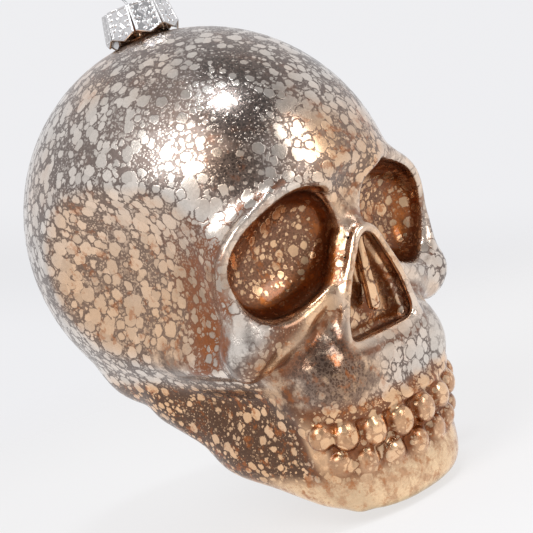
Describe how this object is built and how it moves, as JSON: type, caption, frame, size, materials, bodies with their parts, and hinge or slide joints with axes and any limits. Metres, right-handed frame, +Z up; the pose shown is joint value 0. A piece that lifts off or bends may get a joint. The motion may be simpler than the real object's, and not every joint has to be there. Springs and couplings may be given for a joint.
{
  "type": "hanging glass skull ornament",
  "caption": "Hollow mercury glass skull ornament with a pressed metal crown cap on a short neck and a wire loop for hanging.",
  "frame": {"origin": "inside top of the wire loop, where a hook or ribbon carries the ornament", "axes": "+Z up along the neck, -Y the way the face looks, +X across to the face's left"},
  "size_m": [0.077, 0.1005, 0.1372],
  "materials": {
    "silvered_glass": "silvered and etched glass, mottled silver and copper",
    "cap_metal": "bright pressed sheet",
    "wire_metal": "bright drawn wire"
  },
  "bodies": {
    "skull": {"glass_skull": "silvered_glass"},
    "cap": {"crown_cap": "cap_metal"},
    "hanger": {"wire_hanger": "wire_metal"}
  },
  "joints": [
    {"name": "cap_lift", "type": "slide", "parent": "skull", "child": "cap", "axis": [0, 0, 1], "range_m": [0, 0.0145]},
    {"name": "hanger_slide", "type": "slide", "parent": "cap", "child": "hanger", "axis": [0, 0, 1], "range_m": [0, 0.003]}
  ]
}
